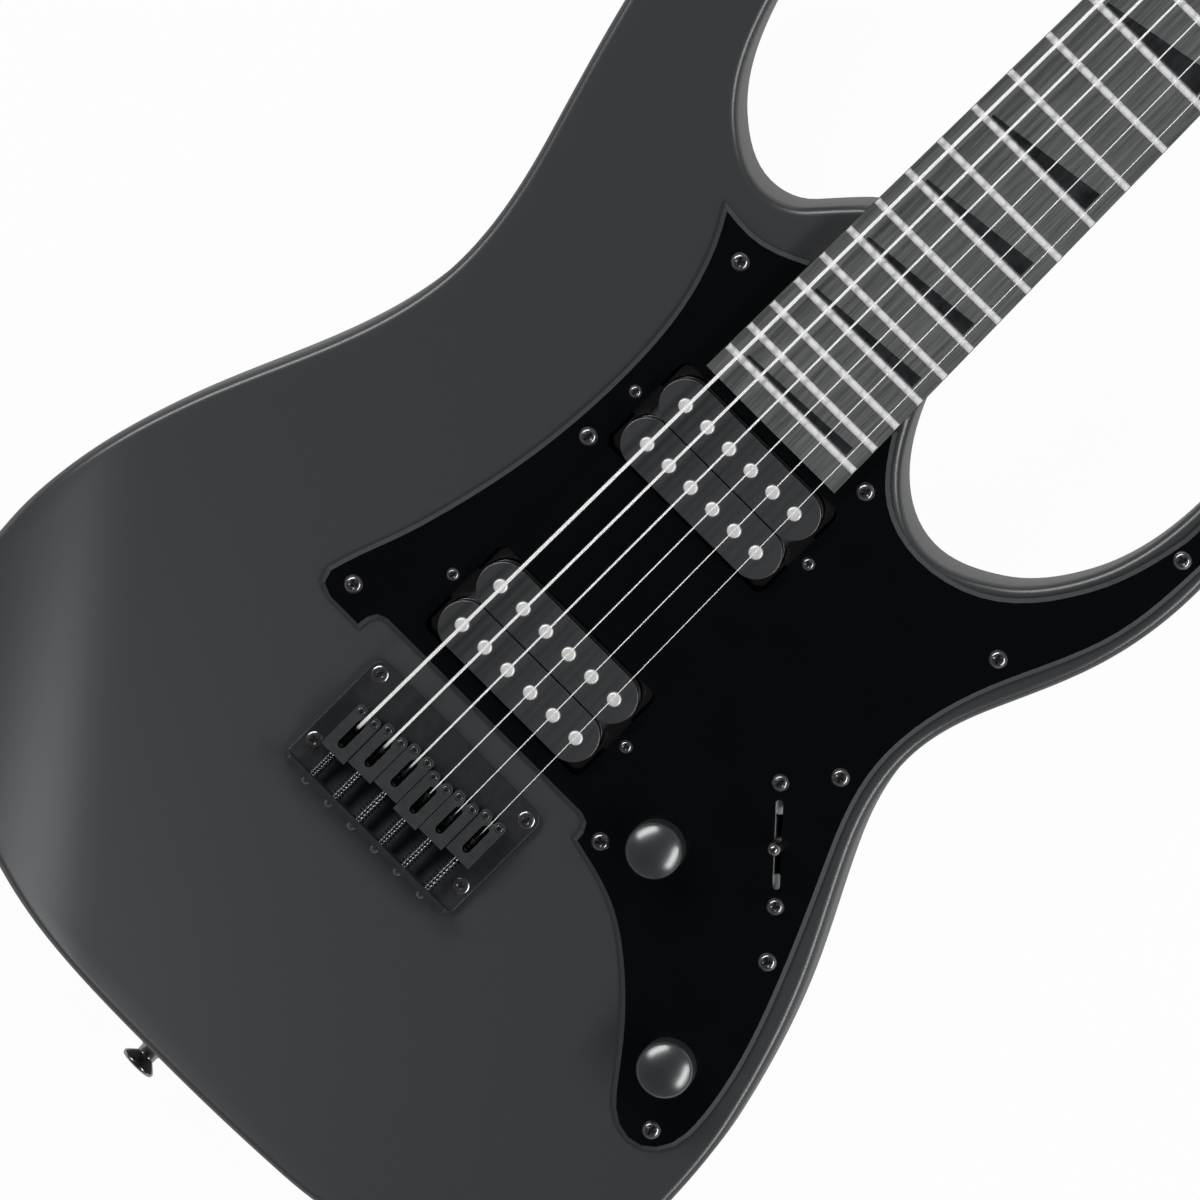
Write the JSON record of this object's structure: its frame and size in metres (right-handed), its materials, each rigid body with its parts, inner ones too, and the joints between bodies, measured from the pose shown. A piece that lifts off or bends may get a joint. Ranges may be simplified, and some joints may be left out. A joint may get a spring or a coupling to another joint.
{
  "type": "electric guitar",
  "caption": "Solid-body electric guitar with bolted neck, slanted headstock, twin-coil pickups, pickguard, lever selector and fixed bridge with turning tuners and sliding saddles.",
  "frame": {"origin": "centre line of the strings at the back of the body, under the end of the string scale", "axes": "+X along the strings to the headstock, +Y to the bass side, +Z out of the face"},
  "size_m": [0.9804, 0.3057, 0.0744],
  "materials": {
    "black_paint": "satin black paint over wood",
    "neck_wood": "satin lacquer",
    "board_wood": "oiled",
    "bright_steel": "bright",
    "marker": "polished",
    "black_plastic": "satin",
    "gloss_plastic": "gloss",
    "black_chrome": "black plated",
    "brass": "nickel silver sheet",
    "coil_tape": "tape over copper wire",
    "magnet": "sintered",
    "wire": "insulated",
    "capacitor": "dipped",
    "switch_board": "phenolic"
  },
  "bodies": {
    "guitar": {"body": "black_paint", "neck": "neck_wood", "fretboard": "board_wood", "frets": "bright_steel", "position_markers": "marker", "nut": "black_plastic", "truss_rod": "bright_steel", "truss_rod_cover": "black_plastic", "neck_plate": "black_chrome", "neck_screws": "black_chrome", "strap_buttons": "black_chrome", "pickguard": "gloss_plastic", "pickguard_screws": "black_chrome", "selector_switch": "switch_board", "control_pots": "bright_steel", "tone_capacitor": "capacitor", "hookup_wires": "wire", "output_jack": "bright_steel", "jack_plate": "black_chrome", "bridge_plate": "black_chrome", "wood_screws": "black_chrome", "string_ferrules": "bright_steel", "tuner_housings": "black_chrome", "tuner_bushings": "black_chrome", "strings": "bright_steel", "intonation_springs": "bright_steel", "pickup_baseplates": "brass", "pickup_bobbins": "black_plastic", "pickup_coils": "coil_tape", "pickup_poles": "bright_steel", "pickup_magnets": "magnet", "pickup_height_screws": "black_chrome"},
    "tuner_button_1": {"tuner_button_1": "black_chrome"},
    "tuner_post_1": {"tuner_post_1": "black_chrome"},
    "tuner_button_2": {"tuner_button_2": "black_chrome"},
    "tuner_post_2": {"tuner_post_2": "black_chrome"},
    "tuner_button_3": {"tuner_button_3": "black_chrome"},
    "tuner_post_3": {"tuner_post_3": "black_chrome"},
    "tuner_button_4": {"tuner_button_4": "black_chrome"},
    "tuner_post_4": {"tuner_post_4": "black_chrome"},
    "tuner_button_5": {"tuner_button_5": "black_chrome"},
    "tuner_post_5": {"tuner_post_5": "black_chrome"},
    "tuner_button_6": {"tuner_button_6": "black_chrome"},
    "tuner_post_6": {"tuner_post_6": "black_chrome"},
    "volume_knob": {"volume_knob": "black_chrome"},
    "tone_knob": {"tone_knob": "black_chrome"},
    "selector": {"selector_lever": "bright_steel", "selector_tip": "black_plastic"},
    "saddle_1": {"saddle_1": "black_chrome"},
    "intonation_screw_1": {"intonation_screw_1": "black_chrome"},
    "saddle_2": {"saddle_2": "black_chrome"},
    "intonation_screw_2": {"intonation_screw_2": "black_chrome"},
    "saddle_3": {"saddle_3": "black_chrome"},
    "intonation_screw_3": {"intonation_screw_3": "black_chrome"},
    "saddle_4": {"saddle_4": "black_chrome"},
    "intonation_screw_4": {"intonation_screw_4": "black_chrome"},
    "saddle_5": {"saddle_5": "black_chrome"},
    "intonation_screw_5": {"intonation_screw_5": "black_chrome"},
    "saddle_6": {"saddle_6": "black_chrome"},
    "intonation_screw_6": {"intonation_screw_6": "black_chrome"}
  },
  "joints": [
    {"name": "tuner_1_button_turn", "type": "hinge", "parent": "guitar", "child": "tuner_button_1", "pos_m": [0.68977, 0.01903, 0.01929], "axis": [0.2785, 0.9589, -0.0541], "continuous": true},
    {"name": "tuner_1_post_turn", "type": "hinge", "parent": "guitar", "child": "tuner_post_1", "pos_m": [0.68738, 0.02085, 0.03911], "axis": [0.1908, 0, 0.9816], "continuous": true, "deforming": ["strings"]},
    {"name": "tuner_2_button_turn", "type": "hinge", "parent": "guitar", "child": "tuner_button_2", "pos_m": [0.71333, 0.01193, 0.01471], "axis": [0.2785, 0.9589, -0.0541], "continuous": true},
    {"name": "tuner_2_post_turn", "type": "hinge", "parent": "guitar", "child": "tuner_post_2", "pos_m": [0.71093, 0.01375, 0.03453], "axis": [0.1908, 0, 0.9816], "continuous": true, "deforming": ["strings"]},
    {"name": "tuner_3_button_turn", "type": "hinge", "parent": "guitar", "child": "tuner_button_3", "pos_m": [0.73689, 0.00483, 0.01013], "axis": [0.2785, 0.9589, -0.0541], "continuous": true},
    {"name": "tuner_3_post_turn", "type": "hinge", "parent": "guitar", "child": "tuner_post_3", "pos_m": [0.73449, 0.00665, 0.02995], "axis": [0.1908, 0, 0.9816], "continuous": true, "deforming": ["strings"]},
    {"name": "tuner_4_button_turn", "type": "hinge", "parent": "guitar", "child": "tuner_button_4", "pos_m": [0.76045, -0.00227, 0.00555], "axis": [0.2785, 0.9589, -0.0541], "continuous": true},
    {"name": "tuner_4_post_turn", "type": "hinge", "parent": "guitar", "child": "tuner_post_4", "pos_m": [0.75805, -0.00045, 0.02537], "axis": [0.1908, 0, 0.9816], "continuous": true, "deforming": ["strings"]},
    {"name": "tuner_5_button_turn", "type": "hinge", "parent": "guitar", "child": "tuner_button_5", "pos_m": [0.78401, -0.00937, 0.00097], "axis": [0.2785, 0.9589, -0.0541], "continuous": true},
    {"name": "tuner_5_post_turn", "type": "hinge", "parent": "guitar", "child": "tuner_post_5", "pos_m": [0.78161, -0.00755, 0.02079], "axis": [0.1908, 0, 0.9816], "continuous": true, "deforming": ["strings"]},
    {"name": "tuner_6_button_turn", "type": "hinge", "parent": "guitar", "child": "tuner_button_6", "pos_m": [0.80757, -0.01647, -0.00361], "axis": [0.2785, 0.9589, -0.0541], "continuous": true},
    {"name": "tuner_6_post_turn", "type": "hinge", "parent": "guitar", "child": "tuner_post_6", "pos_m": [0.80517, -0.01465, 0.01622], "axis": [0.1908, 0, 0.9816], "continuous": true, "deforming": ["strings"]},
    {"name": "volume_turn", "type": "hinge", "parent": "guitar", "child": "volume_knob", "pos_m": [0.0306, -0.0691, 0.055], "axis": [0, 0, 1], "range_deg": [-150, 150]},
    {"name": "tone_turn", "type": "hinge", "parent": "guitar", "child": "tone_knob", "pos_m": [-0.0171, -0.1213, 0.055], "axis": [0, 0, 1], "range_deg": [-150, 150]},
    {"name": "selector_tilt", "type": "hinge", "parent": "guitar", "child": "selector", "pos_m": [0.0587, -0.096, 0.024], "axis": [-0.6743, 0.7385, 0], "range_deg": [-20, 20]},
    {"name": "intonation_1_turn", "type": "hinge", "parent": "guitar", "child": "intonation_screw_1", "pos_m": [-0.0332, 0.026, 0.05045], "axis": [1, 0, 0], "range_deg": [-1800, 1800]},
    {"name": "saddle_1_slide", "type": "slide", "parent": "guitar", "child": "saddle_1", "axis": [1, 0, 0], "range_m": [-0.0025, 0.0025], "deforming": ["intonation_springs", "strings"]},
    {"name": "intonation_2_turn", "type": "hinge", "parent": "guitar", "child": "intonation_screw_2", "pos_m": [-0.0332, 0.0156, 0.051], "axis": [1, 0, 0], "range_deg": [-1800, 1800]},
    {"name": "saddle_2_slide", "type": "slide", "parent": "guitar", "child": "saddle_2", "axis": [1, 0, 0], "range_m": [-0.0025, 0.0025], "deforming": ["intonation_springs", "strings"]},
    {"name": "intonation_3_turn", "type": "hinge", "parent": "guitar", "child": "intonation_screw_3", "pos_m": [-0.0332, 0.0052, 0.05127], "axis": [1, 0, 0], "range_deg": [-1800, 1800]},
    {"name": "saddle_3_slide", "type": "slide", "parent": "guitar", "child": "saddle_3", "axis": [1, 0, 0], "range_m": [-0.0025, 0.0025], "deforming": ["intonation_springs", "strings"]},
    {"name": "intonation_4_turn", "type": "hinge", "parent": "guitar", "child": "intonation_screw_4", "pos_m": [-0.0332, -0.0052, 0.05127], "axis": [1, 0, 0], "range_deg": [-1800, 1800]},
    {"name": "saddle_4_slide", "type": "slide", "parent": "guitar", "child": "saddle_4", "axis": [1, 0, 0], "range_m": [-0.0025, 0.0025], "deforming": ["intonation_springs", "strings"]},
    {"name": "intonation_5_turn", "type": "hinge", "parent": "guitar", "child": "intonation_screw_5", "pos_m": [-0.0332, -0.0156, 0.051], "axis": [1, 0, 0], "range_deg": [-1800, 1800]},
    {"name": "saddle_5_slide", "type": "slide", "parent": "guitar", "child": "saddle_5", "axis": [1, 0, 0], "range_m": [-0.0025, 0.0025], "deforming": ["intonation_springs", "strings"]},
    {"name": "intonation_6_turn", "type": "hinge", "parent": "guitar", "child": "intonation_screw_6", "pos_m": [-0.0332, -0.026, 0.05045], "axis": [1, 0, 0], "range_deg": [-1800, 1800]},
    {"name": "saddle_6_slide", "type": "slide", "parent": "guitar", "child": "saddle_6", "axis": [1, 0, 0], "range_m": [-0.0025, 0.0025], "deforming": ["intonation_springs", "strings"]}
  ],
  "couplings": [
    {"joint": "tuner_1_post_turn", "follows": "tuner_1_button_turn", "ratio": 0.071429},
    {"joint": "tuner_2_post_turn", "follows": "tuner_2_button_turn", "ratio": 0.071429},
    {"joint": "tuner_3_post_turn", "follows": "tuner_3_button_turn", "ratio": 0.071429},
    {"joint": "tuner_4_post_turn", "follows": "tuner_4_button_turn", "ratio": 0.071429},
    {"joint": "tuner_5_post_turn", "follows": "tuner_5_button_turn", "ratio": 0.071429},
    {"joint": "tuner_6_post_turn", "follows": "tuner_6_button_turn", "ratio": 0.071429},
    {"joint": "intonation_1_turn", "follows": "saddle_1_slide", "rad_per_m": 12566},
    {"joint": "intonation_2_turn", "follows": "saddle_2_slide", "rad_per_m": 12566},
    {"joint": "intonation_3_turn", "follows": "saddle_3_slide", "rad_per_m": 12566},
    {"joint": "intonation_4_turn", "follows": "saddle_4_slide", "rad_per_m": 12566},
    {"joint": "intonation_5_turn", "follows": "saddle_5_slide", "rad_per_m": 12566},
    {"joint": "intonation_6_turn", "follows": "saddle_6_slide", "rad_per_m": 12566}
  ]
}
